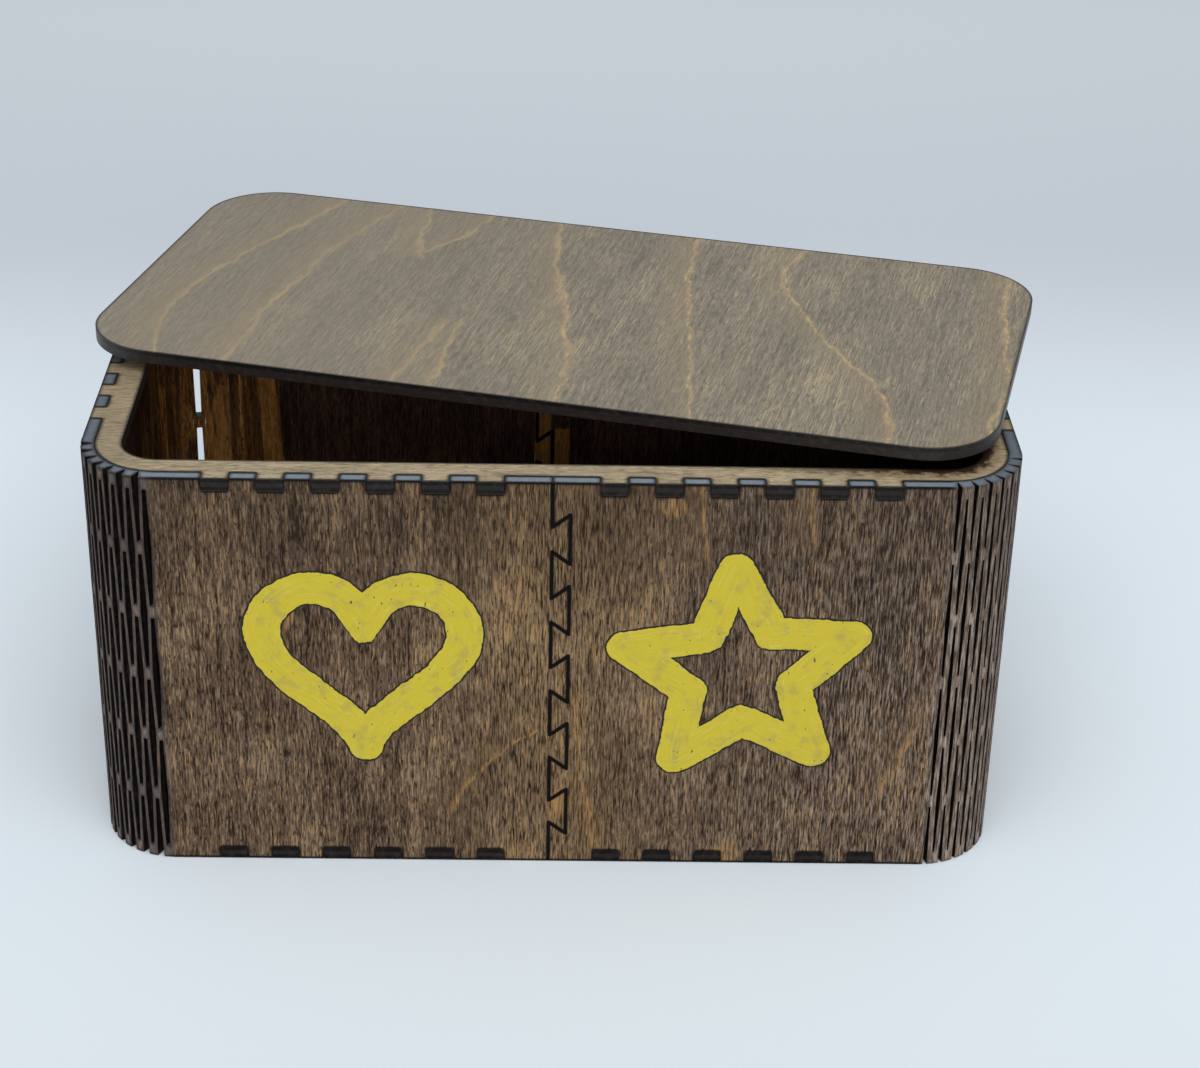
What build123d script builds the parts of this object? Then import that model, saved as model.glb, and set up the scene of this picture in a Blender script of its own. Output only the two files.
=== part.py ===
from build123d import *
import os
from math import radians

# A keepsake box of laser-cut plywood. Two walls bend round the corners on rows of slits and meet in
# dovetail seams at the middle of the front and the back. A base and a rim are fingered into the walls.
# A loose lid with a locating plate glued under it lies askew on the rim. Millimetres, +Z up, the front
# towards -Y, the origin at the middle of the base's underside.

# Sheet and outside sizes
ply = 3
box_length = 210
box_depth = 100
box_height = 100
bend_radius = 15

# Finger joints of the base and the rim
finger_width = 6
finger_gap = 6
finger_play = 0.1
edge_play = 0.1

# Dovetail seams
tail_pitch = 18
tail_neck = 5.6
tail_depth = 4
seam_chamfer = 0.5

# Slit corners. The front bend of each wall has opened wider than its back bend.
slit_pitch = 1.5
slit_bridge = 3
slit_rows = 3
front_slit = 1.65
front_slit_end = 0.9
back_slit = 1.05
back_slit_end = 0.5
slit_inside = 0.05
front_starts_closed = True
back_starts_closed = False
sprung_slit = 1.9
sprung_end = 1.6
sprung_inside = 1.7
sprung_line = 2

# Rim, lid and the lid's place as it lies on the rim
rim_ledge = 6
lid_overhang = 3
lid_corner_radius = 18
locator_play = 0.3
lid_turn = -14.5
lid_shift_x = 4.5
lid_shift_y = 31.5

# Overrun of every cut past the face that it leaves
overrun = 0.3

# Straight stretches of wall between the bends
outer_radius = bend_radius + ply
bend_x = box_length / 2 - outer_radius
bend_y = box_depth / 2 - outer_radius
long_run = bend_x
side_run = 2 * bend_y

# Fingers that fit on each straight stretch
finger_pitch = finger_width + finger_gap
long_fingers = int((long_run - finger_gap) // finger_pitch)
side_fingers = int((side_run - finger_gap) // finger_pitch)

# Plates inside the walls, and the mouth that the rim leaves
plate_length = box_length - 2 * (ply + edge_play)
plate_depth = box_depth - 2 * (ply + edge_play)
plate_radius = bend_radius - edge_play
mouth_length = box_length - 2 * (ply + rim_ledge)
mouth_depth = box_depth - 2 * (ply + rim_ledge)
mouth_radius = bend_radius - rim_ledge

# Flat strips that each bend is made of, and the angle that each one takes
quarter_turn = 90
strips = int(bend_radius * radians(quarter_turn) // slit_pitch)
strip_angle = quarter_turn / strips

# The two bends of the left wall: where each turns about, the direction in which it starts, the width of its
# slits half way and at their closed ends, and whether its first line stays closed at the edges of the sheet
back_bend = (-bend_x, bend_y)
front_bend = (-bend_x, -bend_y)
bends = (
    (back_bend, quarter_turn, back_slit, back_slit_end, back_starts_closed),
    (front_bend, 2 * quarter_turn, front_slit, front_slit_end, front_starts_closed),
)


def bend_corners(centre, radius, start):
    """Corners between the flat strips of one bend, counter-clockwise from its start direction."""
    middle = Vector(*centre)
    return [middle + Vector(radius, 0).rotate(Axis.Z, start + i * strip_angle) for i in range(strips + 1)]


def wall_line(radius):
    """One face of the left wall in plan, from the back seam round both bends to the front seam."""
    reach = bend_y + radius
    line = [Vector(0, reach)]
    for centre, start, *_ in bends:
        line += bend_corners(centre, radius, start)
    return line + [Vector(0, -reach)]


def finger_rectangles(width, length):
    """One rectangle across the wall at each finger, on all four straight sides."""
    with Locations((-long_run / 2, 0), (long_run / 2, 0)):
        with GridLocations(finger_pitch, box_depth - 2 * ply, long_fingers, 2):
            Rectangle(width, length)
    with GridLocations(box_length - 2 * ply, finger_pitch, 2, side_fingers):
        Rectangle(length, width)


def dovetails():
    """Flared tails up the height of the box in a front view, rooted just short of the seam."""
    tails = int(box_height // tail_pitch)
    neck = tail_neck / 2
    tip = (tail_pitch - tail_neck) / 2
    with Locations((0, box_height / 2)):
        with GridLocations(0, tail_pitch, 1, tails):
            Polygon((-overrun, -neck), (tail_depth, -tip), (tail_depth, tip), (-overrun, neck), align=None)


def slit(low, high, width, end, inside):
    """What one slit takes out of a bend: slim at its closed ends, widest half way or where it runs out at
    an edge of the sheet, and leaning in to its width inside, because the strips fan out round the bend."""
    ends = [(low, end), (high, end)]
    if low < 0:
        ends[0] = (low, width)
    elif high > box_height:
        ends[1] = (high, width)
    else:
        ends.insert(1, ((low + high) / 2, width))
    right = [(gap / 2, height) for height, gap in ends]
    left = [(-gap / 2, height) for height, gap in reversed(ends)]
    lean = (width - inside) / 2
    with BuildPart() as cut:
        with BuildSketch(Plane.YZ.offset(outer_radius)):
            Polygon(*right, *left, align=None)
        extrude(amount=-(ply + overrun))
        for side, line in ((1, right), (-1, left)):
            for (start, first), (stop, last) in zip(line, line[1:]):
                along = Vector(0, stop - start, last - first)
                flank = along.cross(Vector(-ply, -side * lean, 0))
                split(bisect_by=Plane((outer_radius, start, first), along, flank), keep=Keep.TOP)
    return cut.part


# Heights of the slits. A line of open slits runs out at the top and bottom edges, and its bridges stand
# half way between those of the closed lines on either side.
half_row = (box_height - slit_bridge) / (2 * slit_rows)
closed_spans = [(2 * row * half_row + slit_bridge, 2 * (row + 1) * half_row) for row in range(slit_rows)]
open_spans = [(-overrun, half_row)]
for row in range(slit_rows - 1):
    open_spans.append(((2 * row + 1) * half_row + slit_bridge, (2 * row + 3) * half_row))
open_spans.append(((2 * slit_rows - 1) * half_row + slit_bridge, box_height + overrun))

# Wall: one cut sheet, bent at two corners. Both walls are this piece.
with BuildPart() as wall:
    with BuildSketch():
        with BuildLine():
            Polyline(*wall_line(outer_radius), *reversed(wall_line(bend_radius)), close=True)
        make_face()
    extrude(amount=box_height)
    # Tails at the front end, sockets for the other wall's tails at the back end
    with BuildSketch(Plane.front.offset(box_depth / 2)):
        dovetails()
    extrude(amount=-ply)
    with BuildSketch(Plane.back.offset(box_depth / 2)):
        dovetails()
    extrude(amount=-ply, mode=Mode.SUBTRACT)
    seam_edges = wall.edges().filter_by(Axis.Y).filter_by_position(Axis.Z, overrun, box_height - overrun)
    chamfer(seam_edges, seam_chamfer)
    # Notches for the fingers of the base and the rim
    for height in (0, box_height - ply):
        with BuildSketch(Plane.XY.offset(height)):
            finger_rectangles(finger_width, 2 * (ply + overrun))
        extrude(amount=ply, mode=Mode.SUBTRACT)
    # Slits through both bends, closed and open lines by turns
    for centre, start, width, end, starts_closed in bends:
        first_closed = 0 if starts_closed else 2
        with Locations(centre):
            for first, spans in ((first_closed, closed_spans), (1, open_spans)):
                slits = [slit(low, high, width, end, slit_inside) for low, high in spans]
                count = (strips - first + 1) // 2
                with PolarLocations(0, count, start + first * strip_angle, 2 * count * strip_angle):
                    add(slits, mode=Mode.SUBTRACT)

# Left wall: one line of slits in its back bend has sprung wide open
sprung_slits = [slit(low, high, sprung_slit, sprung_end, sprung_inside) for low, high in closed_spans]
with BuildPart() as left_wall:
    add(wall.part)
    with Locations(back_bend):
        with PolarLocations(0, 1, quarter_turn + sprung_line * strip_angle):
            add(sprung_slits, mode=Mode.SUBTRACT)

# Right wall: the same piece turned half a turn
with BuildPart() as right_wall:
    add(wall.part, rotation=(0, 0, 2 * quarter_turn))

# Base: a plate inside the walls with its fingers flush with their outside
with BuildPart() as base_plate:
    with BuildSketch():
        RectangleRounded(plate_length, plate_depth, plate_radius)
        finger_rectangles(finger_width - finger_play, 2 * ply)
    extrude(amount=ply)

# Rim: the same plate at the top edge, cut out to leave a ledge round the mouth
with BuildPart() as top_rim:
    with BuildSketch(Plane.XY.offset(box_height - ply)):
        RectangleRounded(plate_length, plate_depth, plate_radius)
        finger_rectangles(finger_width - finger_play, 2 * ply)
        RectangleRounded(mouth_length, mouth_depth, mouth_radius, mode=Mode.SUBTRACT)
    extrude(amount=ply)

# Locator: the plate under the lid that drops into the mouth when the lid is put on straight
lid_plane = Plane((lid_shift_x, lid_shift_y, box_height)).rotated((0, 0, lid_turn))
with BuildPart() as lid_locator:
    with BuildSketch(lid_plane):
        RectangleRounded(
            mouth_length - 2 * locator_play, mouth_depth - 2 * locator_play, mouth_radius - locator_play
        )
    extrude(amount=ply)

# Lid: a plain rounded plate that stands out past the walls all round
with BuildPart() as lid_plate:
    with BuildSketch(lid_plane.offset(ply)):
        RectangleRounded(box_length + 2 * lid_overhang, box_depth + 2 * lid_overhang, lid_corner_radius)
    extrude(amount=ply)

pieces = {
    "left_wall": left_wall,
    "right_wall": right_wall,
    "base_plate": base_plate,
    "top_rim": top_rim,
    "lid_locator": lid_locator,
    "lid_plate": lid_plate,
}
os.makedirs("parts", exist_ok=True)
for name, piece in pieces.items():
    piece.part.label = name
    export_step(piece.part, f"parts/{name}.step")
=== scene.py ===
from math import radians

import bpy
import numpy as np
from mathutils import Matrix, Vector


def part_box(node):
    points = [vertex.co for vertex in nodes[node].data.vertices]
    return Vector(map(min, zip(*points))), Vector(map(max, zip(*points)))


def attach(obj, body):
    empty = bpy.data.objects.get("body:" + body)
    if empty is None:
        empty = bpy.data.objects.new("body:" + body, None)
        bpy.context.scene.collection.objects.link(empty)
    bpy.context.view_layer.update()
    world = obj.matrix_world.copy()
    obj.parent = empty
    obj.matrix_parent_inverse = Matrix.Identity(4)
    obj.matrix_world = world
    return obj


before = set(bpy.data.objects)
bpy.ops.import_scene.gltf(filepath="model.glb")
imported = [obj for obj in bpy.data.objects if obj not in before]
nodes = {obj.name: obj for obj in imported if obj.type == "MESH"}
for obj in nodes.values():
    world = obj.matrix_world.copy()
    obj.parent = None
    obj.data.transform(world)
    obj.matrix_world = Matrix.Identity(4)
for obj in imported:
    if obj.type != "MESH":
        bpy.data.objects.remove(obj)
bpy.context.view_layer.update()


# Base plate: a rounded plate of 3 mm birch plywood with fingers on all four sides, glued into the notches
# at the foot of the walls. Its faces are stained dark brown, and the laser that cut it has charred its edges.
mm_per_metre = 1000.0


def extent(name):
    """Lowest and highest corner of a piece of the frame, in millimetres."""
    return [np.round(np.array(corner) * mm_per_metre, 3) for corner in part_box(name)]


def srgb(red, green, blue):
    """A colour written as a paint chart gives it, 0 to 255, as the linear colour that shaders take."""
    part = np.array([red, green, blue]) / 255
    linear = np.where(part > 0.04045, ((part + 0.055) / 1.055) ** 2.4, part / 12.92)
    return (*linear.tolist(), 1.0)


def put(tree, kind, settings=None, sockets=None):
    """Adds a node with its own settings. Each of the sockets gets a plain value or another node's output."""
    node = tree.nodes.new(kind)
    for name, value in (settings or {}).items():
        setattr(node, name, value)
    for name, value in (sockets or {}).items():
        if isinstance(value, bpy.types.NodeSocket):
            tree.links.new(value, node.inputs[name])
        else:
            node.inputs[name].default_value = value
    return node


def calc(tree, operation, *values):
    """One step of arithmetic on numbers or other nodes' outputs."""
    return put(tree, "ShaderNodeMath", {"operation": operation}, dict(enumerate(values))).outputs[0]


def times(tree, first, *others):
    """The product of masks and shares."""
    for other in others:
        first = calc(tree, "MULTIPLY", first, other)
    return first


def fade(tree, value, start, stop):
    """A smooth step from 0 at start to 1 at stop."""
    sockets = {"Value": value, "From Min": start, "From Max": stop}
    return put(tree, "ShaderNodeMapRange", {"interpolation_type": "SMOOTHSTEP"}, sockets).outputs[0]


def lay(tree, share, under, over, strength=None):
    """One colour laid over another by a share from 0 to 1, times a strength where one is given."""
    if strength is not None:
        share = times(tree, share, strength)
    return put(tree, "ShaderNodeMix", {"data_type": "RGBA"}, {0: share, 6: under, 7: over}).outputs[2]


def cloud(tree, place, scale, shift, detail=2.0, rough=0.55):
    """Noise about 0.5 with a scale along each axis, in features a millimetre. Each use has a shift of its
    own, so that no two are alike."""
    sockets = {0: place, 1: scale, 2: (shift, shift, shift)}
    moved = put(tree, "ShaderNodeVectorMath", {"operation": "MULTIPLY_ADD"}, sockets).outputs[0]
    sockets = {"Vector": moved, "Scale": 1.0, "Detail": detail, "Roughness": rough}
    return put(tree, "ShaderNodeTexNoise", {}, sockets).outputs[0]


def parts_of(tree, place):
    """The three coordinates of a place, by their names."""
    return put(tree, "ShaderNodeSeparateXYZ", {}, {0: place}).outputs


def turned(tree, place, order):
    """Coordinates with their axes in another order, so that the grain runs along the last one."""
    parts = parts_of(tree, place)
    return put(tree, "ShaderNodeCombineXYZ", {}, {i: parts[axis] for i, axis in enumerate(order)}).outputs[0]


def new_group(name, inputs, outputs):
    """A shader node group with named sockets: its tree, the sockets that come in and the node that takes
    what goes out."""
    kinds = {"colour": "NodeSocketColor", "value": "NodeSocketFloat", "vector": "NodeSocketVector"}
    tree = bpy.data.node_groups.new(name, "ShaderNodeTree")
    for label, kind in inputs.items():
        tree.interface.new_socket(label, in_out="INPUT", socket_type=kinds[kind])
    for label, kind in outputs.items():
        tree.interface.new_socket(label, in_out="OUTPUT", socket_type=kinds[kind])
    return tree, put(tree, "NodeGroupInput").outputs, put(tree, "NodeGroupOutput").inputs


def use(tree, group, sockets):
    """Places a node group in a material with that material's own values."""
    return put(tree, "ShaderNodeGroup", {"node_tree": group}, sockets).outputs


def new_finish(name):
    """An empty finish: the material, its tree, its shader and the piece's own coordinates in millimetres."""
    material = bpy.data.materials.new(name)
    material.use_nodes = True
    tree = material.node_tree
    tree.nodes.clear()
    shader = put(tree, "ShaderNodeBsdfPrincipled")
    put(tree, "ShaderNodeOutputMaterial", {}, {"Surface": shader.outputs[0]})
    sockets = {0: put(tree, "ShaderNodeTexCoord").outputs["Object"], "Scale": mm_per_metre}
    place = put(tree, "ShaderNodeVectorMath", {"operation": "SCALE"}, sockets).outputs[0]
    return material, tree, shader, place


def relief(tree, shader, height, depth):
    """Roughens the surface by a height from 0 to 1 that stands for a depth in millimetres."""
    sockets = {"Height": height, "Strength": 1.0, "Distance": depth / mm_per_metre}
    tree.links.new(put(tree, "ShaderNodeBump", {}, sockets).outputs[0], shader.inputs["Normal"])


def dress(names, material):
    """Puts a finish in every slot of the named pieces."""
    for name in names:
        for slot in nodes[name].material_slots:
            slot.material = material


# Stained veneer: short dashes and longer strands along the grain between a deep and a pale stain, broad
# changes of tone, flecks where the stain hasn't taken, and dark pores. The grain runs along the place's Z.
veneer, given, gives = new_group(
    "stained_veneer",
    {"Place": "vector", "Deep": "colour", "Mid": "colour", "Pale": "colour", "Fleck": "colour",
     "Flecks": "value", "Broad": "value"},
    {"Color": "colour", "Height": "value"},
)
dash_share = 0.62
mid_stain = 0.5
dash = cloud(veneer, given["Place"], (2.4, 2.4, 0.32), shift=3.0, rough=0.6)
strand = cloud(veneer, given["Place"], (0.8, 0.8, 0.06), shift=31.0)
tone = cloud(veneer, given["Place"], (0.06, 0.06, 0.025), shift=77.0)
tone = calc(veneer, "SUBTRACT", tone, 0.5)
pore = cloud(veneer, given["Place"], (2.1, 2.1, 0.5), shift=113.0, detail=1.0)
speck = cloud(veneer, given["Place"], (2.2, 2.2, 0.17), shift=211.0, rough=0.6)
depth = calc(veneer, "MULTIPLY_ADD", strand, 1.0 - dash_share, times(veneer, dash, dash_share))
depth = calc(veneer, "MULTIPLY_ADD", tone, given["Broad"], depth)
stain = lay(veneer, fade(veneer, depth, 0.39, mid_stain), given["Deep"], given["Mid"])
stain = lay(veneer, fade(veneer, depth, mid_stain, 0.63), stain, given["Pale"])
bare = calc(veneer, "MULTIPLY_ADD", tone, 0.4, speck)
bare = fade(veneer, calc(veneer, "ADD", bare, given["Flecks"]), 0.58, 0.7)
stain = lay(veneer, bare, stain, given["Fleck"])
sunk = fade(veneer, pore, 0.41, 0.33)
stain = lay(veneer, sunk, stain, given["Deep"], strength=0.8)
veneer.links.new(stain, gives["Color"])
veneer.links.new(calc(veneer, "MULTIPLY_ADD", sunk, -0.5, dash), gives["Height"])


def stained(tree, place, flecks, broad, deep, mid, pale, fleck):
    """Stained veneer in four colours, with its shares of flecks and of broad changes of tone."""
    return use(tree, veneer, {
        "Place": place, "Flecks": flecks, "Broad": broad,
        "Deep": srgb(*deep), "Mid": srgb(*mid), "Pale": srgb(*pale), "Fleck": srgb(*fleck),
    })


# Laser char: a cut edge is nearly black with its inner plies a little browner, a pale blue-grey painted sheen
# lies on edges that face up, and the face is scorched in a thin line along every edge. Depth is in
# millimetres below a face,
# Scorch is the strength of that line, and the last input is the strength of the painted sheen.
char, given, gives = new_group(
    "laser_char",
    {"Color": "colour", "Depth": "value", "Place": "vector", "Scorch": "value", "Sheen": "value"},
    {"Color": "colour", "Cut": "value"},
)
scorched_face = srgb(9, 7, 6)
scorched_edge = srgb(10, 9, 9)
black_ply = srgb(16, 14, 14)
brown_ply = srgb(56, 48, 44)
# Pale blue-grey that stands for a painted sheen on cut edges that face up
painted_sheen = srgb(126, 137, 147)
scorch_width = 1.6
outer_ply = 0.9
rounded = put(char, "ShaderNodeBevel", {"samples": 8}, {"Radius": scorch_width / mm_per_metre}).outputs[0]
flat = put(char, "ShaderNodeNewGeometry").outputs["True Normal"]
sockets = {0: rounded, 1: flat}
facing = put(char, "ShaderNodeVectorMath", {"operation": "DOT_PRODUCT"}, sockets).outputs["Value"]
scorch = times(char, fade(char, facing, 0.995, 0.93), given["Scorch"])
face = lay(char, scorch, given["Color"], scorched_face)
soot = cloud(char, given["Place"], (0.5, 0.5, 0.5), shift=17.0, detail=4.0, rough=0.65)
brown = times(char, fade(char, given["Depth"], outer_ply, outer_ply + 0.15), 0.35)
brown = calc(char, "MULTIPLY_ADD", fade(char, soot, 0.45, 0.75), 0.5, brown)
edge = lay(char, brown, black_ply, brown_ply)
# Painted sheen: pale blue-grey laid on cut edges that face up
upward = fade(char, parts_of(char, flat)["Z"], 0.7, 0.95)
sheen = times(char, calc(char, "MULTIPLY_ADD", soot, 0.5, 0.6), given["Sheen"], upward)
edge = lay(char, sheen, edge, painted_sheen)
edge = lay(char, times(char, scorch, upward), edge, scorched_edge)
cut = fade(char, given["Depth"], 0.04, 0.12)
char.links.new(lay(char, cut, face, edge), gives["Color"])
char.links.new(cut, gives["Cut"])


def sheet_depth(tree, height, low, high):
    """Depth below the nearer face of a flat sheet that lies between two heights."""
    return calc(tree, "MINIMUM", calc(tree, "SUBTRACT", height, low), calc(tree, "SUBTRACT", high, height))


def charred(tree, shader, colour, depth, place, scorch=0.9, sheen=1.0):
    """Gives the shader a colour with charred cut edges and a painted sheen on those that face up, and gives
    back the mask of those edges.
    """
    sockets = {"Color": colour, "Depth": depth, "Place": place, "Scorch": scorch, "Sheen": sheen}
    burnt = use(tree, char, sockets)
    tree.links.new(burnt["Color"], shader.inputs["Base Color"])
    return burnt["Cut"]


def shine(tree, shader, cut, faces, edges, specular):
    """Roughness of the faces and of the cut edges, and the strength of the highlights."""
    rough = calc(tree, "MULTIPLY_ADD", cut, edges - faces, faces)
    tree.links.new(rough, shader.inputs["Roughness"])
    shader.inputs["Specular IOR Level"].default_value = specular


base_low, base_high = extent("base_plate")
sheet = base_high[2] - base_low[2]
finish, tree, shader, place = new_finish("base_stain")
wood = stained(
    tree, turned(tree, place, "YZX"), flecks=0.0, broad=0.3,
    deep=(38, 28, 22), mid=(70, 52, 38), pale=(98, 75, 54), fleck=(120, 88, 55),
)
depth = sheet_depth(tree, parts_of(tree, place)["Z"], base_low[2], base_high[2])
cut = charred(tree, shader, wood["Color"], depth, place)
shine(tree, shader, cut, faces=0.6, edges=0.45, specular=0.08)
relief(tree, shader, wood["Height"], 0.06)
dress(["base_plate"], finish)


# Walls: two alike sheets of 3 mm birch plywood, each bent round two corners on rows of laser-cut slits and
# dovetailed to the other at the front and the back. The outside is stained walnut with the grain upright,
# the inside is stained darker, in part as painted shade, except where the stain missed it, and every cut edge
# is charred.
wall_low, wall_high = extent("left_wall")
half_length = -wall_low[0]
half_depth = wall_high[1]
box_height = wall_high[2]
corner_radius = 18.0
bend_x = half_length - corner_radius
bend_y = half_depth - corner_radius

# Tails of the seams: their number, the step from one to the next, how far past the middle they reach, and
# half their height at the tip and at the root
tails = 5
tail_pitch = 18.0
tail_depth = 4.0
tail_tip = 6.2
tail_root = 3.04


def diagonal(tree, first, second):
    """The length of the diagonal of two distances at right angles."""
    both = put(tree, "ShaderNodeCombineXYZ", {}, {"X": first, "Y": second}).outputs[0]
    return put(tree, "ShaderNodeVectorMath", {"operation": "LENGTH"}, {0: both}).outputs["Value"]


def past_outline(tree, parts, half_x, half_y, radius):
    """How far each point lies outside a rounded rectangle in plan, negative inside it: the length of what
    stands past the middles of its corners, less their radius."""
    past_x = calc(tree, "SUBTRACT", calc(tree, "ABSOLUTE", parts["X"]), half_x - radius)
    past_y = calc(tree, "SUBTRACT", calc(tree, "ABSOLUTE", parts["Y"]), half_y - radius)
    past = diagonal(tree, calc(tree, "MAXIMUM", past_x, 0.0), calc(tree, "MAXIMUM", past_y, 0.0))
    return calc(tree, "SUBTRACT", past, radius)


def seam_distance(tree, parts):
    """Distance from the dovetail line of the front or back seam: the shortest to the tips of its tails, to
    their flanks, and to the roots between them on the middle. Heights fold about the middle of each tail,
    and the back seam is the front one turned half a turn."""
    half_pitch = tail_pitch / 2
    first = (box_height - tails * tail_pitch) / 2
    half_flank = np.hypot(tail_depth, tail_tip - tail_root) / 2
    run = tail_depth / (2 * half_flank)
    climb = (tail_tip - tail_root) / (2 * half_flank)
    ahead = times(tree, parts["X"], calc(tree, "SIGN", parts["Y"]), -1.0)
    height = calc(tree, "MAXIMUM", calc(tree, "MINIMUM", parts["Z"], box_height - first), first)
    height = calc(tree, "PINGPONG", calc(tree, "SUBTRACT", height, first + half_pitch), half_pitch)
    tip = calc(tree, "MAXIMUM", calc(tree, "SUBTRACT", height, tail_tip), 0.0)
    tip = diagonal(tree, calc(tree, "SUBTRACT", ahead, tail_depth), tip)
    rise = calc(tree, "SUBTRACT", height, tail_root)
    root = diagonal(tree, ahead, calc(tree, "MINIMUM", rise, 0.0))
    along = calc(tree, "MULTIPLY_ADD", ahead, run, times(tree, rise, climb))
    past = calc(tree, "ABSOLUTE", calc(tree, "SUBTRACT", along, half_flank))
    past = calc(tree, "MAXIMUM", calc(tree, "SUBTRACT", past, half_flank), 0.0)
    flank = calc(tree, "MULTIPLY_ADD", ahead, climb, times(tree, rise, -run))
    flank = diagonal(tree, flank, past)
    return calc(tree, "MINIMUM", flank, calc(tree, "MINIMUM", tip, root))


# Growth line: a pale line of the wood whose X follows a cubic of Y, counted in steps, with a broad band that
# fades away on one side of it. At, Lean, Bow and Twist are the cubic's terms, and From and To its ends in Y.
growth, given, gives = new_group(
    "growth_line",
    {"Place": "vector", "At": "value", "Lean": "value", "Bow": "value", "Twist": "value", "From": "value",
     "To": "value"},
    {"Line": "value", "Side": "value"},
)
growth_step = 50.0
run_out = 6.0
band_width = 12.0
parts = parts_of(growth, given["Place"])
along = calc(growth, "DIVIDE", parts["Y"], growth_step)
path = calc(growth, "MULTIPLY_ADD", given["Twist"], along, given["Bow"])
path = calc(growth, "MULTIPLY_ADD", path, along, given["Lean"])
path = calc(growth, "MULTIPLY_ADD", path, along, given["At"])
beside = calc(growth, "SUBTRACT", parts["X"], path)
starts = fade(growth, calc(growth, "SUBTRACT", parts["Y"], given["From"]), 0.0, run_out)
stops = fade(growth, calc(growth, "SUBTRACT", given["To"], parts["Y"]), 0.0, run_out)
line = times(growth, fade(growth, beside, -1.3, 0.0), fade(growth, beside, 0.8, 0.1))
side = times(growth, fade(growth, beside, -band_width, 0.0), fade(growth, beside, 2.0, 0.0))
growth.links.new(times(growth, line, starts, stops), gives["Line"])
growth.links.new(times(growth, side, starts, stops), gives["Side"])


def growth_lines(tree, place, lines):
    """All growth lines of one piece: the strongest line and the strongest band at each point."""
    names = ("At", "Lean", "Bow", "Twist", "From", "To")
    drawn = [use(tree, growth, {"Place": place, **dict(zip(names, line))}) for line in lines]
    marks = drawn[0]["Line"]
    bands = drawn[0]["Side"]
    for each in drawn[1:]:
        marks = calc(tree, "MAXIMUM", marks, each["Line"])
        bands = calc(tree, "MAXIMUM", bands, each["Side"])
    return marks, bands


def strayed(tree, value, noise, reach):
    """A distance that noise moves to and fro, over a reach in millimetres."""
    return calc(tree, "MULTIPLY_ADD", calc(tree, "SUBTRACT", noise, 0.5), reach, value)


finish, tree, shader, place = new_finish("wall_stain")
parts = parts_of(tree, place)
aside = calc(tree, "ABSOLUTE", parts["X"])
outside = past_outline(tree, parts, half_length, half_depth, corner_radius)
inner = fade(tree, outside, 0.2 - sheet / 2, -0.2 - sheet / 2)
# The bends, of which two are opened wide and two are slim. Flecks are more beside the seams and fewer there.
bend = fade(tree, calc(tree, "ABSOLUTE", parts["Y"]), bend_y - 0.5, bend_y + 2.5)
bend = times(tree, bend, fade(tree, aside, bend_x - 0.3, bend_x + 2.2))
wide = times(tree, bend, calc(tree, "GREATER_THAN", times(tree, parts["X"], parts["Y"]), 0.0))
slim = calc(tree, "SUBTRACT", bend, wide)
flecks = times(tree, fade(tree, aside, 20.0, 3.0), 0.05)
flecks = calc(tree, "SUBTRACT", calc(tree, "MULTIPLY_ADD", bend, -0.05, flecks), 0.01)
outer_wood = stained(
    tree, place, flecks=flecks, broad=0.2,
    deep=(40, 29, 21), mid=(91, 73, 57), pale=(135, 114, 91), fleck=(162, 128, 86),
)
# The inside: a darker copy of the stain, in part painted shade of the box's inside
inner_wood = stained(
    tree, place, flecks=-0.05, broad=0.3,
    deep=(46, 33, 27), mid=(72, 52, 43), pale=(96, 70, 56), fleck=(112, 78, 54),
)
missed_wood = stained(
    tree, place, flecks=0.02, broad=0.4,
    deep=(90, 58, 30), mid=(150, 100, 51), pale=(194, 138, 76), fleck=(208, 156, 92),
)
# Inside, the stain missed the back left bend, but for a few blots and dark streaks, and a patch on either
# side of the back seam, of which the right one ends lower
missed_x = -68.0
right_patch_top = 66.0
ragged = strayed(tree, parts["X"], cloud(tree, place, (0.3, 0.3, 0.02), shift=9.0), 14.0)
missed = fade(tree, ragged, missed_x, missed_x - 3.0)
missed = times(tree, missed, fade(tree, parts["Y"], bend_y - 8.0, bend_y + 1.0))
blot = cloud(tree, place, (0.22, 0.22, 0.035), shift=23.0, detail=3.0, rough=0.6)
missed = times(tree, missed, fade(tree, blot, 0.36, 0.47))
left_patch = calc(tree, "COMPARE", parts["X"], -2.5, 2.1)
right_patch = calc(tree, "COMPARE", parts["X"], 2.4, 2.0)
right_patch = times(tree, right_patch, fade(tree, parts["Z"], right_patch_top, right_patch_top - 1.0))
patch = calc(tree, "MAXIMUM", left_patch, right_patch)
patch = times(tree, patch, fade(tree, parts["Y"], half_depth - 10.0, half_depth - 8.0))
missed = calc(tree, "MAXIMUM", missed, patch)
# Two runs of that bend and both patches are clear of streaks: X of each run, and half its width at the
# foot and at the crest
clear_runs = (
    (-86.5, 3.0, 1.0),
    (-72.0, 3.4, 1.4),
)
clear = patch
for run_x, foot, crest in clear_runs:
    away = calc(tree, "ABSOLUTE", calc(tree, "SUBTRACT", ragged, run_x))
    clear = calc(tree, "MAXIMUM", clear, fade(tree, away, foot, crest))
streak = cloud(tree, place, (0.55, 0.55, 0.02), shift=45.0, detail=3.0, rough=0.6)
streak = times(tree, fade(tree, streak, 0.36, 0.6), calc(tree, "SUBTRACT", 1.0, clear))
missed_colour = lay(tree, streak, missed_wood["Color"], srgb(58, 38, 24), strength=0.75)
missed_colour = lay(tree, clear, missed_colour, srgb(196, 138, 72), strength=0.35)
inner_colour = lay(tree, missed, inner_wood["Color"], missed_colour)
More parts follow.
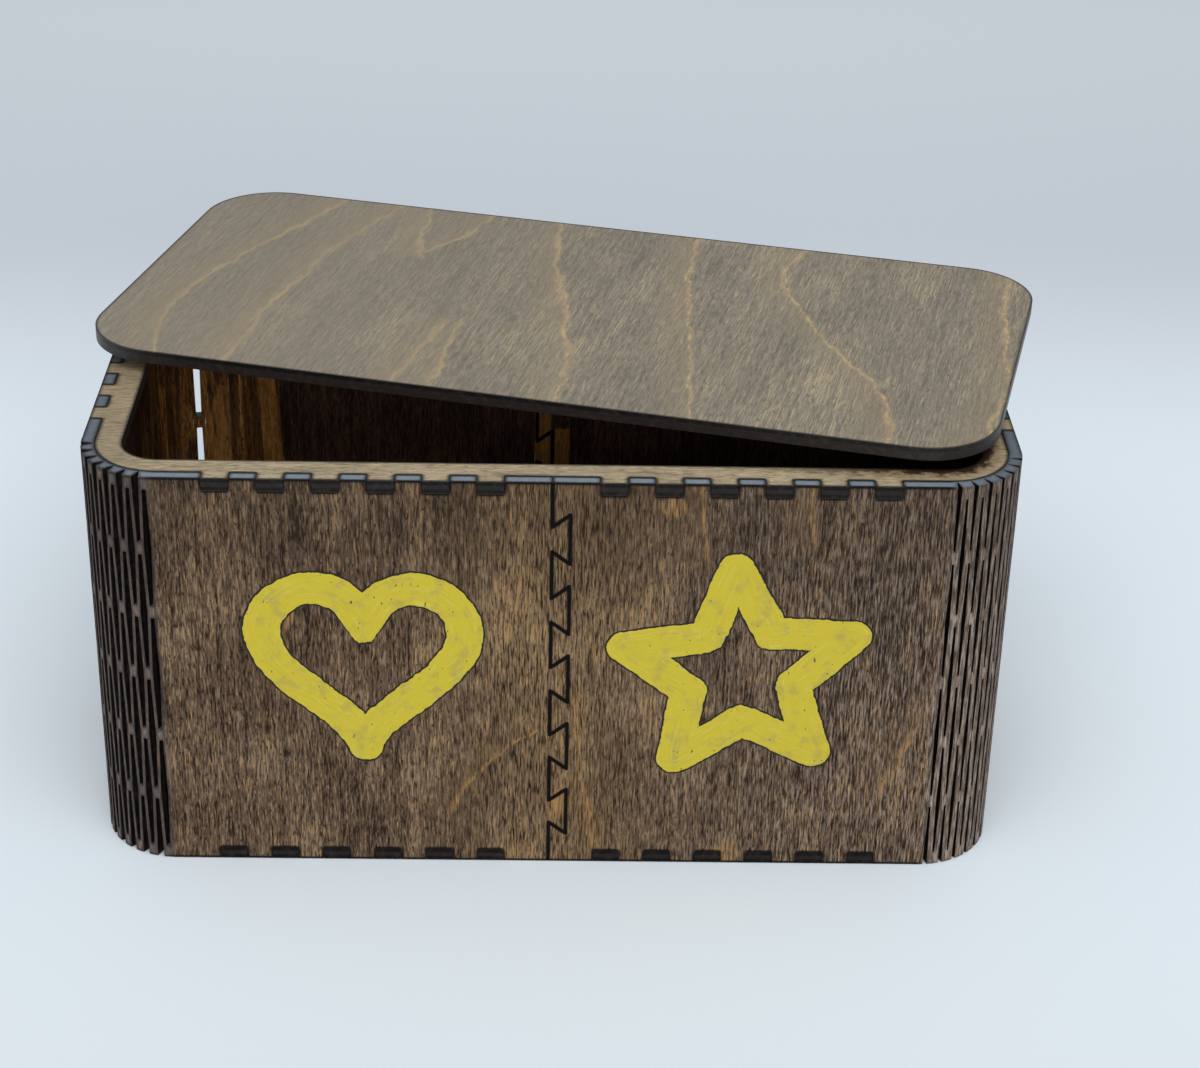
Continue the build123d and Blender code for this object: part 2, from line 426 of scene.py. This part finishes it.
# Outside, the strips of the wide bends are greyed, in part as a painted sheen, those of the slim bends are
# greyed too and worn pale in streaks, the grain is coarser on the right, the stain is thinner beside the
# seams, and the outside is darker towards the top
right = times(tree, fade(tree, parts["X"], 5.0, 70.0), calc(tree, "SUBTRACT", 1.0, bend))
middle = fade(tree, aside, 34.0, 4.0)
ridge = cloud(tree, place, (2.5, 2.5, 0.22), shift=67.0, rough=0.6)
pale = calc(tree, "MULTIPLY_ADD", slim, 0.7, times(tree, right, 0.3))
pale = times(tree, pale, fade(tree, ridge, 0.5, 0.64))
thinner = times(tree, middle, fade(tree, ridge, 0.4, 0.62))
dark = times(tree, calc(tree, "MAXIMUM", right, middle), 0.8)
dark = calc(tree, "MULTIPLY_ADD", slim, 0.5, dark)
dark = times(tree, dark, fade(tree, ridge, 0.5, 0.36))
# The outside is darker towards the top
darker_near_top = fade(tree, parts["Z"], box_height - 45.0, box_height - 5.0)
# The strips of the wide bends greyed, in part a painted sheen; those of the slim bends greyed too
outer_colour = lay(tree, wide, outer_wood["Color"], srgb(120, 111, 110), strength=0.45)
outer_colour = lay(tree, slim, outer_colour, srgb(140, 123, 114), strength=0.45)
outer_colour = lay(tree, pale, outer_colour, srgb(178, 166, 156))
outer_colour = lay(tree, thinner, outer_colour, srgb(160, 130, 92), strength=0.4)
outer_colour = lay(tree, dark, outer_colour, srgb(32, 20, 12))
outer_colour = lay(tree, darker_near_top, outer_colour, srgb(44, 35, 28), strength=0.32)
# Growth lines of the front: X where each crosses half the box's height, how it leans, bows and twists with
# each step up from there, and where it starts and stops, up from there
front_lines = (
    (5.4, -2.2, 4.4, 0.0, -60.0, -2.0),
    (37.4, -5.0, 0.0, 0.0, 28.0, 60.0),
    (60.9, -4.2, 0.0, 0.0, 32.0, 60.0),
    (88.2, 18.4, 0.0, 0.0, -34.0, -4.0),
    (24.0, 118.1, 75.5, 0.0, -40.0, -10.0),
    (-59.8, 3.2, 0.0, 0.0, -8.0, 22.0),
)
# Bare patches of the front: X and Z of the middle, half the width and half the height
front_patches = (
    (2.0, 16.8, 3.4, 6.0),
    (26.5, 94.5, 3.5, 3.0),
    (42.0, 3.0, 3.0, 4.5),
)
front = calc(tree, "LESS_THAN", parts["Y"], 5.0 - half_depth)
wander = strayed(tree, parts["X"], cloud(tree, place, (0.3, 0.3, 0.1), shift=57.0), 5.0)
above = calc(tree, "SUBTRACT", parts["Z"], box_height / 2)
wandering = put(tree, "ShaderNodeCombineXYZ", {}, {"X": wander, "Y": above}).outputs[0]
marks, bands = growth_lines(tree, wandering, front_lines)
for patch_x, patch_z, half_width, half_height in front_patches:
    beside = calc(tree, "DIVIDE", calc(tree, "SUBTRACT", wander, patch_x), half_width)
    above = calc(tree, "DIVIDE", calc(tree, "SUBTRACT", parts["Z"], patch_z), half_height)
    marks = calc(tree, "MAXIMUM", marks, fade(tree, diagonal(tree, beside, above), 1.15, 0.6))
grainy = cloud(tree, place, (1.6, 1.6, 0.16), shift=83.0, rough=0.6)
marks = times(tree, marks, front, fade(tree, grainy, 0.41, 0.62))
bands = times(tree, bands, front)
outer_colour = lay(tree, bands, outer_colour, srgb(126, 98, 66), strength=0.15)
outer_colour = lay(tree, marks, outer_colour, srgb(163, 124, 76), strength=0.85)
wood_colour = lay(tree, inner, outer_colour, inner_colour)
wood_colour = lay(tree, fade(tree, seam_distance(tree, parts), 0.55, 0.3), wood_colour, srgb(8, 6, 5))
# The strips are scorched less, above all those of the slim bends, and less of the painted sheen lies on the
# tops of the bends and ends
scorch = calc(tree, "MULTIPLY_ADD", wide, 0.3, calc(tree, "MULTIPLY_ADD", bend, -0.6, 0.95))
sheen = calc(tree, "MULTIPLY_ADD", fade(tree, aside, bend_x - 1.0, half_length - 5.0), -0.4, 1.0)
cut = charred(tree, shader, wood_colour, sheet_depth(tree, outside, -sheet, 0.0), place, scorch, sheen)
shine(tree, shader, cut, faces=0.6, edges=0.45, specular=0.08)
relief(tree, shader, outer_wood["Height"], 0.08)
dress(["left_wall", "right_wall"], finish)


# Painted motifs: a heart and a star brushed in yellow on the front walls inside lines that the laser has
# scored. The paint is a thin uneven film, and each motif is one closed stroke 9 mm wide with its dark edge.
half_stroke = 4.5
film = 0.04
directions = 360
brush_circle = 30.0
wobble = 0.12
# Waves of an unsteady hand: how many go round a motif, where they start and how strong they are
waves = (
    (7, 1.0, 1.0),
    (17, 2.0, 0.7),
    (41, 0.0, 0.5),
)


def drawn_band(line, levels):
    """Radii of a band along a closed line that goes once round its middle. For each direction, a row of
    levels, the radius is found at which the distance from the line, negative inside it, equals the level,
    by halving an interval for all directions and levels at once."""
    halvings = 26
    turn = np.linspace(0, 2 * np.pi, len(levels), endpoint=False)
    aim = np.stack([np.cos(turn), np.sin(turn)], -1)
    line_turn = np.arctan2(line[:, 1], line[:, 0])
    order = np.argsort(line_turn)
    line_radius = np.hypot(line[:, 0], line[:, 1])[order]
    reach = np.interp(turn, line_turn[order], line_radius, period=2 * np.pi)[:, None]
    low = np.zeros_like(levels)
    high = np.full_like(levels, 2 * line_radius.max())
    for _ in range(halvings):
        middle = (low + high) / 2
        spot = middle[..., None] * aim[:, None]
        away = np.sqrt(((spot[:, :, None] - line) ** 2).sum(-1).min(-1))
        past = np.where(middle < reach, -away, away) > levels
        low = np.where(past, low, middle)
        high = np.where(past, middle, high)
    return aim[:, None] * low[..., None]


def painted_motif(name, line, middle):
    """A closed film of paint: across the stroke, a row of levels from edge to edge on the face of the wall
    and back just under it, and along it, directions round the motif's middle. Each point keeps its level
    and its direction, as a place on a circle, so that the brush marks follow the stroke."""
    turn = np.linspace(0, 2 * np.pi, directions, endpoint=False)[:, None]
    uneven = wobble * sum(strong * np.sin(count * turn + start) for count, start, strong in waves)
    half = np.array([2.0, 3.7, 4.2, half_stroke])
    across = np.concatenate([-half[::-1], [0.0], half, [half_stroke, -half_stroke]])
    proud = film * np.array([0.0, 0.5, 1.0, 1.0, 1.0, 1.0, 1.0, 0.5, 0.0, -1.25, -1.25])
    flat = drawn_band(line, across + uneven * np.sign(across))
    x = middle[0] + flat[..., 0]
    z = middle[1] + flat[..., 1]
    y = np.broadcast_to(-half_depth - proud, x.shape)
    points = np.stack([x, y, z], -1) / mm_per_metre
    rows, columns = x.shape
    index = np.arange(rows * columns).reshape(rows, columns)
    ahead = np.roll(index, -1, 0)
    quads = np.stack([index, np.roll(index, -1, 1), np.roll(ahead, -1, 1), ahead], -1).reshape(-1, 4)
    mesh = bpy.data.meshes.new(name)
    mesh.from_pydata(points.reshape(-1, 3).tolist(), [], quads.tolist())
    brushed = np.broadcast_arrays(across, brush_circle * np.cos(turn), brush_circle * np.sin(turn))
    stroke = mesh.attributes.new("stroke", "FLOAT_VECTOR", "POINT")
    stroke.data.foreach_set("vector", np.stack(brushed, -1).ravel().astype(np.float32))
    piece = bpy.data.objects.new(name, mesh)
    bpy.context.scene.collection.objects.link(piece)
    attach(piece, "box")
    return piece


def along_corners(corners, steps):
    """A closed line of straight runs between corners, with as many points on each run."""
    share = np.linspace(0, 1, steps, endpoint=False)[None, :, None]
    return (corners[:, None] * (1 - share) + np.roll(corners, -1, 0)[:, None] * share).reshape(-1, 2)


# Heart: the third power of a sine from side to side, and a sum of four cosines up and down
heart_scale = 1.42
heart_middle = (-42.0, 56.0)
t = np.linspace(0, 2 * np.pi, 600, endpoint=False)
rise = 13 * np.cos(t) - 5 * np.cos(2 * t) - 2 * np.cos(3 * t) - np.cos(4 * t)
heart = heart_scale * np.stack([16 * np.sin(t) ** 3, rise], -1)
left_motif = painted_motif("painted_heart", heart, heart_middle)

# Star: five points, leaning a little as if drawn by hand
star_points = 5
star_reach = 27.0
star_notch = 12.5
star_lean = 94.0
star_middle = (43.0, 52.0)
corner = np.arange(2 * star_points)
spike = radians(star_lean) + corner * np.pi / star_points
arm = np.where(corner % 2 == 0, star_reach, star_notch)
star = along_corners(np.stack([arm * np.cos(spike), arm * np.sin(spike)], -1), 60)
right_motif = painted_motif("painted_star", star, star_middle)

finish, tree, shader, place = new_finish("yellow_paint")
stroke = put(tree, "ShaderNodeAttribute", {"attribute_name": "stroke"}).outputs["Vector"]
across = calc(tree, "ABSOLUTE", parts_of(tree, stroke)["X"])
thin = cloud(tree, place, (0.22, 0.22, 0.22), shift=5.0, detail=3.0, rough=0.6)
bristle = cloud(tree, stroke, (1.7, 0.16, 0.16), shift=41.0, detail=3.0, rough=0.6)
pit = cloud(tree, place, (1.2, 1.2, 0.6), shift=71.0, detail=1.0)
wavy = cloud(tree, place, (0.7, 0.7, 0.7), shift=19.0)
paint = lay(tree, fade(tree, thin, 0.3, 0.52), srgb(178, 161, 64), srgb(197, 178, 42))
paint = lay(tree, fade(tree, bristle, 0.52, 0.74), paint, srgb(204, 190, 84), strength=0.7)
paint = lay(tree, fade(tree, bristle, 0.44, 0.3), paint, srgb(164, 146, 56), strength=0.2)
paint = lay(tree, fade(tree, pit, 0.3, 0.24), paint, srgb(96, 80, 40))
scored = calc(tree, "MULTIPLY_ADD", wavy, 0.7, across)
paint = lay(tree, fade(tree, scored, half_stroke - 0.16, half_stroke - 0.04), paint, srgb(22, 17, 13))
tree.links.new(paint, shader.inputs["Base Color"])
shader.inputs["Roughness"].default_value = 0.5
shader.inputs["Specular IOR Level"].default_value = 0.35
relief(tree, shader, calc(tree, "MULTIPLY_ADD", pit, 0.6, bristle), 0.1)
for piece in (left_motif, right_motif):
    piece.data.materials.append(finish)


# Top rim: a ring of 3 mm plywood fingered and glued into the top edge of the walls, the ledge that the lid
# lies on. Its stain is thin, so it is a light tan with the grain along the box, and its edges are charred.
rim_low, rim_high = extent("top_rim")
rim_width = 9.0
finish, tree, shader, place = new_finish("rim_stain")
parts = parts_of(tree, place)
wood = stained(
    tree, turned(tree, place, "YZX"), flecks=0.0, broad=0.2,
    deep=(124, 110, 88), mid=(156, 141, 115), pale=(178, 162, 134), fleck=(192, 172, 134),
)
# The rim is darker and browner towards the left, and the laser has singed the edge of the mouth towards the
# right
mouth = past_outline(
    tree, parts, half_length - rim_width, half_depth - rim_width, corner_radius - rim_width
)
smoke = cloud(tree, place, (0.25, 0.25, 0.25), shift=61.0, detail=3.0, rough=0.65)
smoke = calc(tree, "MULTIPLY_ADD", smoke, -9.0, mouth)
haze = times(tree, fade(tree, smoke, 1.2, -2.2), fade(tree, parts["X"], 40.0, 85.0))
singe = times(tree, fade(tree, smoke, -1.0, -3.2), fade(tree, parts["X"], 30.0, 85.0))
browner = fade(tree, parts["X"], 19.0 - half_length, 7.0 - half_length)
wood_colour = lay(tree, browner, wood["Color"], srgb(112, 96, 74), strength=0.35)
wood_colour = lay(tree, haze, wood_colour, srgb(122, 96, 60), strength=0.5)
wood_colour = lay(tree, singe, wood_colour, srgb(46, 31, 20))
depth = sheet_depth(tree, parts["Z"], rim_low[2], rim_high[2])
cut = charred(tree, shader, wood_colour, depth, place)
shine(tree, shader, cut, faces=0.55, edges=0.4, specular=0.15)
relief(tree, shader, wood["Height"], 0.03)
dress(["top_rim"], finish)


# Lid locator: a plate of the same plywood glued under the lid, which drops into the mouth of the rim when
# the lid is put on straight. Its stain is rough and dark, and its edges are charred.
locator_low, locator_high = extent("lid_locator")
finish, tree, shader, place = new_finish("locator_stain")
wood = stained(
    tree, turned(tree, place, "YZX"), flecks=0.0, broad=0.3,
    deep=(46, 36, 28), mid=(80, 64, 50), pale=(106, 86, 66), fleck=(130, 100, 68),
)
depth = sheet_depth(tree, parts_of(tree, place)["Z"], locator_low[2], locator_high[2])
charred(tree, shader, wood["Color"], depth, place)
shader.inputs["Roughness"].default_value = 0.6
relief(tree, shader, wood["Height"], 0.06)
dress(["lid_locator"], finish)


# Lid: a plain rounded plate of 3 mm plywood that stands out past the walls by one sheet. It is stained a
# greyed walnut, the grain runs across it, and pale growth lines wander from its front edge to its back.
lid_low, lid_high = extent("lid_plate")
lid_foot = (*(lid_low + lid_high)[:2] / 2, lid_low[2])
lid_turn = -14.5
finish, tree, shader, place = new_finish("lid_stain")
sockets = {"Vector": place, "Location": lid_foot, "Rotation": (0.0, 0.0, radians(lid_turn))}
own = put(tree, "ShaderNodeMapping", {"vector_type": "TEXTURE"}, sockets).outputs[0]
parts = parts_of(tree, own)
sockets = {0: turned(tree, own, "XZY"), 1: (1.25, 1.25, 0.75)}
grain = put(tree, "ShaderNodeVectorMath", {"operation": "MULTIPLY"}, sockets).outputs[0]
wood = stained(
    tree, grain, flecks=0.0, broad=0.15,
    deep=(100, 92, 80), mid=(125, 116, 101), pale=(146, 136, 117), fleck=(166, 149, 116),
)
# Growth lines of the lid: X where each crosses its middle, how it leans, bows and twists with each step back
# from there, and where it starts and stops
lid_lines = (
    (-90.4, 11.9, 8.3, -5.8, -60.0, 60.0),
    (-70.1, 4.2, 5.0, 1.0, -60.0, 60.0),
    (-41.2, -10.5, 0.0, 0.0, 17.0, 60.0),
    (-65.7, 55.3, -24.2, 0.0, 19.0, 60.0),
    (-25.2, 7.6, 4.0, 0.0, -60.0, -12.0),
    (-27.1, -10.2, -3.5, 0.0, -60.0, -12.0),
    (-2.1, -16.5, -1.1, 4.3, -60.0, 60.0),
    (28.7, -11.6, 1.6, 1.8, -60.0, 60.0),
    (62.0, -32.5, 4.3, 14.5, -60.0, 60.0),
    (105.5, -5.6, -3.1, 4.7, -60.0, 60.0),
)
wander = strayed(tree, parts["X"], cloud(tree, own, (0.2, 0.1, 0.2), shift=57.0, rough=0.6), 6.0)
wandering = put(tree, "ShaderNodeCombineXYZ", {}, {"X": wander, "Y": parts["Y"]}).outputs[0]
marks, bands = growth_lines(tree, wandering, lid_lines)
# To the left the stain lies smoother and the lines are soft streaks; to the right they are rows of dashes
smooth = fade(tree, parts["X"], 10.0, -70.0)
dashes = fade(tree, cloud(tree, own, (1.5, 0.5, 1.5), shift=91.0, rough=0.6), 0.47, 0.62)
dashes = times(tree, dashes, fade(tree, parts["X"], -60.0, 10.0))
streaks = calc(tree, "MULTIPLY_ADD", cloud(tree, own, (0.06, 0.04, 0.06), shift=33.0), 1.1, -0.24)
marks = times(tree, marks, calc(tree, "MAXIMUM", dashes, streaks))
wood_colour = lay(tree, smooth, wood["Color"], srgb(126, 117, 103), strength=0.5)
wood_colour = lay(tree, bands, wood_colour, srgb(144, 127, 100), strength=0.38)
wood_colour = lay(tree, marks, wood_colour, srgb(180, 156, 112))
# The upper ply is burnt blackest: below it, the depth counts on almost to the lower face
depth = calc(tree, "SUBTRACT", sheet, parts["Z"])
depth = calc(tree, "MINIMUM", depth, times(tree, parts["Z"], 40.0))
cut = charred(tree, shader, wood_colour, depth, grain)
shine(tree, shader, cut, faces=0.5, edges=0.4, specular=0.3)
relief(tree, shader, wood["Height"], 0.015)
dress(["lid_plate"], finish)


# Stage: a plain pale floor that the box stands on, wide enough to fill every view, a soft box above, a low
# lamp in front to the right that reaches in under the lid, and an even pale light all round.
floor_sides = 96
floor_rings = np.array([0.0005, 0.2, 0.6, 1.5, 4.0, 12.0])
floor_drop = 0.0002
ring = np.linspace(0, 2 * np.pi, floor_sides, endpoint=False)[:, None]
level = np.full((floor_sides, len(floor_rings)), -floor_drop)
points = np.stack([floor_rings * np.cos(ring), floor_rings * np.sin(ring), level], -1)
index = np.arange(level.size).reshape(level.shape)
ahead = np.roll(index, -1, 0)
quads = np.stack([index[:, :-1], index[:, 1:], ahead[:, 1:], ahead[:, :-1]], -1).reshape(-1, 4)
hub = index[::-1, 0].tolist()
mesh = bpy.data.meshes.new("floor")
mesh.from_pydata(points.reshape(-1, 3).tolist(), [], [*quads.tolist(), hub])
floor = bpy.data.objects.new("floor", mesh)
bpy.context.scene.collection.objects.link(floor)

# Its tone changes a little from the front to the back, so that it stays even under the lamps
finish, tree, shader, place = new_finish("pale_floor")
behind = parts_of(tree, place)["Y"]
paper = lay(tree, fade(tree, behind, 150.0, 350.0), srgb(225, 234, 241), srgb(202, 209, 217))
paper = lay(tree, fade(tree, behind, 300.0, 650.0), paper, srgb(214, 221, 228))
paper = lay(tree, fade(tree, behind, -40.0, -300.0), paper, srgb(205, 211, 216))
tree.links.new(paper, shader.inputs["Base Color"])
shader.inputs["Roughness"].default_value = 0.9
shader.inputs["Specular IOR Level"].default_value = 0.1
floor.data.materials.append(finish)

world = bpy.data.worlds.new("studio")
world.use_nodes = True
sky = world.node_tree.nodes["Background"]
sky.inputs["Color"].default_value = (0.95, 0.975, 1.0, 1.0)
sky.inputs["Strength"].default_value = 0.6
bpy.context.scene.world = world

lamp = bpy.data.lights.new("soft_box", "AREA")
lamp.shape = "DISK"
lamp.size = 1.8
lamp.energy = 18.0
soft_box = bpy.data.objects.new("soft_box", lamp)
soft_box.location = (0.05, -0.9, 1.5)
soft_box.rotation_euler = (radians(31), radians(2), 0.0)
bpy.context.scene.collection.objects.link(soft_box)

lamp = bpy.data.lights.new("front_lamp", "SPOT")
lamp.shadow_soft_size = 0.4
lamp.spot_size = radians(24)
lamp.spot_blend = 1.0
lamp.energy = 38.0
front_lamp = bpy.data.objects.new("front_lamp", lamp)
front_lamp.location = (0.36, -2.14, 0.85)
front_lamp.rotation_euler = (radians(70), 0.0, radians(9.5))
bpy.context.scene.collection.objects.link(front_lamp)

# Camera: straight before the middle of the box and above it, looking down at the front
lens = bpy.data.cameras.new("camera")
lens.sensor_fit = "HORIZONTAL"
lens.sensor_width = 36.0
lens.lens = 78.78
camera = bpy.data.objects.new("camera", lens)
camera.location = (-0.0011, -0.55711, 0.36195)
camera.rotation_euler = (radians(61.579), radians(-1.168), radians(-0.679))
bpy.context.scene.collection.objects.link(camera)
bpy.context.scene.camera = camera
bpy.context.scene.view_settings.view_transform = "Standard"
